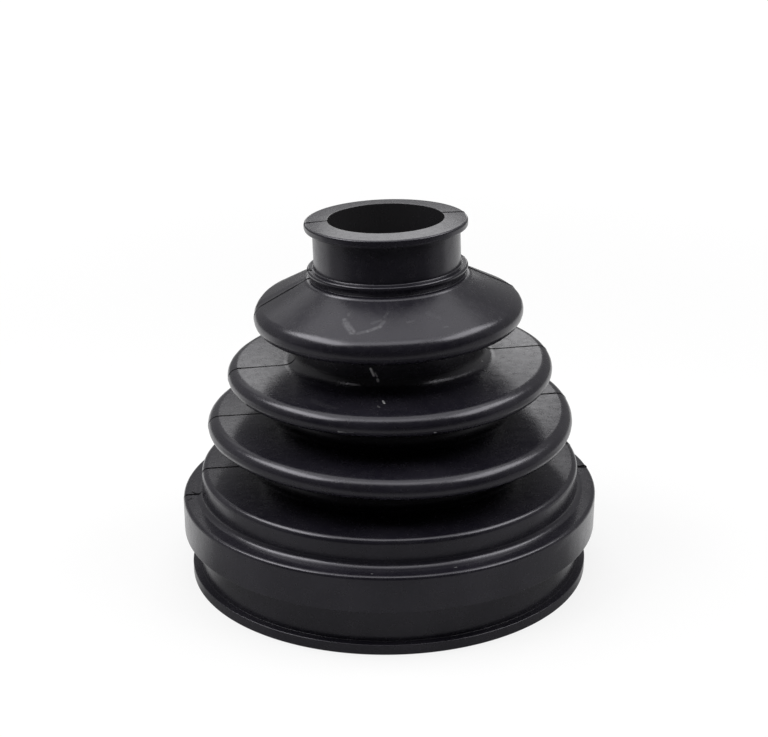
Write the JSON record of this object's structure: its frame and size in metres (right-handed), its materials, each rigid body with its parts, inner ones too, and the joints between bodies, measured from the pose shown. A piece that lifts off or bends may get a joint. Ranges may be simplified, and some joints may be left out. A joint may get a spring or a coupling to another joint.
{
  "type": "rubber bellows boot",
  "caption": "Hollow tapering rubber bellows with a small clamp collar at one end and a wide clamp collar at the other, covering a shaft joint.",
  "frame": {"origin": "centre of the large end's flat foot, on the boot's axis", "axes": "+Z along the axis from the large end up to the small end"},
  "size_m": [0.0926, 0.0926, 0.0801],
  "materials": {
    "rubber": "satin moulded black rubber"
  },
  "bodies": {
    "root": {"bellows_boot": "rubber"}
  },
  "joints": []
}
